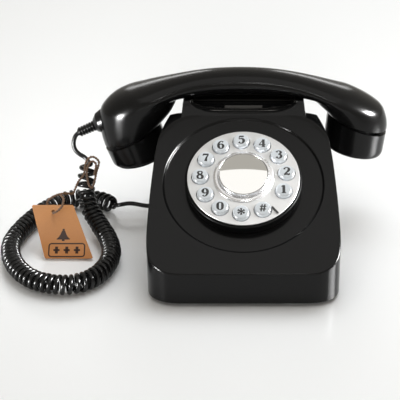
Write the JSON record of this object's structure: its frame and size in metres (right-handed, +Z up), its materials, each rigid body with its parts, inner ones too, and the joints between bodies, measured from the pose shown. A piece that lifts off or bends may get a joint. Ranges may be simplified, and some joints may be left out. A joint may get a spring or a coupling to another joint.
{
  "type": "desk telephone",
  "caption": "Black retro desk telephone with a ring of round push buttons on a silver dial plate, a handset on a horned cradle, a curly cord and a leather tag.",
  "frame": {"origin": "centre of the base on the surface it stands on, measured without the cord, the tag and the pieces on the cord", "axes": "+Z up, +X to the right as the user faces it and along the handset, the dial faces -Y"},
  "size_m": [0.3253, 0.208, 0.1352],
  "materials": {
    "case_black": "gloss",
    "plated_plate": "satin",
    "mirror": "polished",
    "button_white": "satin",
    "steel": "satin",
    "rubber": "satin",
    "dark_plastic": "matt",
    "board": "matt",
    "brass": "satin",
    "leather": "satin",
    "string": "matt"
  },
  "bodies": {
    "base": {"case": "case_black", "dial_housing": "case_black", "dial_plate": "plated_plate", "centre_bezel": "plated_plate", "centre_disc": "mirror", "base_plate": "steel", "case_screw_1": "steel", "case_screw_2": "steel", "case_screw_3": "steel", "case_screw_4": "steel", "ballast_weight": "steel", "ringer_frame": "steel", "gong_screw_left": "steel", "gong_screw_right": "steel", "switch_bracket": "steel", "return_spring": "steel", "foot_1": "rubber", "foot_2": "rubber", "foot_3": "rubber", "foot_4": "rubber", "keypad_mat": "rubber", "cord_gland": "rubber", "cord_lead_handset": "rubber", "cord_lead_base": "rubber", "curly_cord": "rubber", "finger_stop": "dark_plastic", "microswitch": "dark_plastic", "line_socket": "dark_plastic", "keypad_board": "board", "main_board": "board", "ringer_coil": "brass", "gong_left": "brass", "gong_right": "brass", "leather_tag": "leather", "tag_string": "string"},
    "handset": {"handset_body": "case_black", "mouth_cap": "case_black", "ear_cap": "case_black", "microphone": "steel", "earphone": "steel", "handset_strain_relief": "rubber"},
    "hook_key": {"hook_key": "case_black"},
    "switch_lever": {"switch_lever": "steel"},
    "clapper": {"clapper": "steel"},
    "ringer_slider": {"ringer_switch": "dark_plastic"},
    "key_1": {"button_1": "button_white"},
    "key_2": {"button_2": "button_white"},
    "key_3": {"button_3": "button_white"},
    "key_4": {"button_4": "button_white"},
    "key_5": {"button_5": "button_white"},
    "key_6": {"button_6": "button_white"},
    "key_7": {"button_7": "button_white"},
    "key_8": {"button_8": "button_white"},
    "key_9": {"button_9": "button_white"},
    "key_0": {"button_0": "button_white"},
    "key_star": {"button_star": "button_white"},
    "key_hash": {"button_hash": "button_white"}
  },
  "joints": [
    {"name": "handset_lift", "type": "slide", "parent": "base", "child": "handset", "axis": [0, 0, 1], "range_m": [0, 0.09]},
    {"name": "hook_key_travel", "type": "slide", "parent": "base", "child": "hook_key", "axis": [0, 0, 1], "range_m": [0, 0.0044], "deforming": ["return_spring"]},
    {"name": "switch_lever_hinge", "type": "hinge", "parent": "base", "child": "switch_lever", "pos_m": [0.01, 0.04, 0.0785], "axis": [1, 0, 0], "range_deg": [0, 12.5]},
    {"name": "clapper_swing", "type": "hinge", "parent": "base", "child": "clapper", "pos_m": [0, 0.0365, 0.017], "axis": [0, 0, 1], "range_deg": [-3, 3], "stiffness_Nm_per_rad": 0.02},
    {"name": "ringer_switch_slide", "type": "slide", "parent": "base", "child": "ringer_slider", "axis": [1, 0, 0], "range_m": [-0.002, 0.002]},
    {"name": "press_1", "type": "slide", "parent": "base", "child": "key_1", "axis": [0, 0.5, -0.866], "range_m": [0, 0.0017], "stiffness_N_per_m": 250},
    {"name": "press_2", "type": "slide", "parent": "base", "child": "key_2", "axis": [0, 0.5, -0.866], "range_m": [0, 0.0017], "stiffness_N_per_m": 250},
    {"name": "press_3", "type": "slide", "parent": "base", "child": "key_3", "axis": [0, 0.5, -0.866], "range_m": [0, 0.0017], "stiffness_N_per_m": 250},
    {"name": "press_4", "type": "slide", "parent": "base", "child": "key_4", "axis": [0, 0.5, -0.866], "range_m": [0, 0.0017], "stiffness_N_per_m": 250},
    {"name": "press_5", "type": "slide", "parent": "base", "child": "key_5", "axis": [0, 0.5, -0.866], "range_m": [0, 0.0017], "stiffness_N_per_m": 250},
    {"name": "press_6", "type": "slide", "parent": "base", "child": "key_6", "axis": [0, 0.5, -0.866], "range_m": [0, 0.0017], "stiffness_N_per_m": 250},
    {"name": "press_7", "type": "slide", "parent": "base", "child": "key_7", "axis": [0, 0.5, -0.866], "range_m": [0, 0.0017], "stiffness_N_per_m": 250},
    {"name": "press_8", "type": "slide", "parent": "base", "child": "key_8", "axis": [0, 0.5, -0.866], "range_m": [0, 0.0017], "stiffness_N_per_m": 250},
    {"name": "press_9", "type": "slide", "parent": "base", "child": "key_9", "axis": [0, 0.5, -0.866], "range_m": [0, 0.0017], "stiffness_N_per_m": 250},
    {"name": "press_0", "type": "slide", "parent": "base", "child": "key_0", "axis": [0, 0.5, -0.866], "range_m": [0, 0.0017], "stiffness_N_per_m": 250},
    {"name": "press_star", "type": "slide", "parent": "base", "child": "key_star", "axis": [0, 0.5, -0.866], "range_m": [0, 0.0017], "stiffness_N_per_m": 250},
    {"name": "press_hash", "type": "slide", "parent": "base", "child": "key_hash", "axis": [0, 0.5, -0.866], "range_m": [0, 0.0017], "stiffness_N_per_m": 250}
  ],
  "couplings": [
    {"joint": "hook_key_travel", "follows": "handset_lift", "ratio": 0.0467},
    {"joint": "switch_lever_hinge", "follows": "handset_lift", "rad_per_m": 2.4}
  ]
}
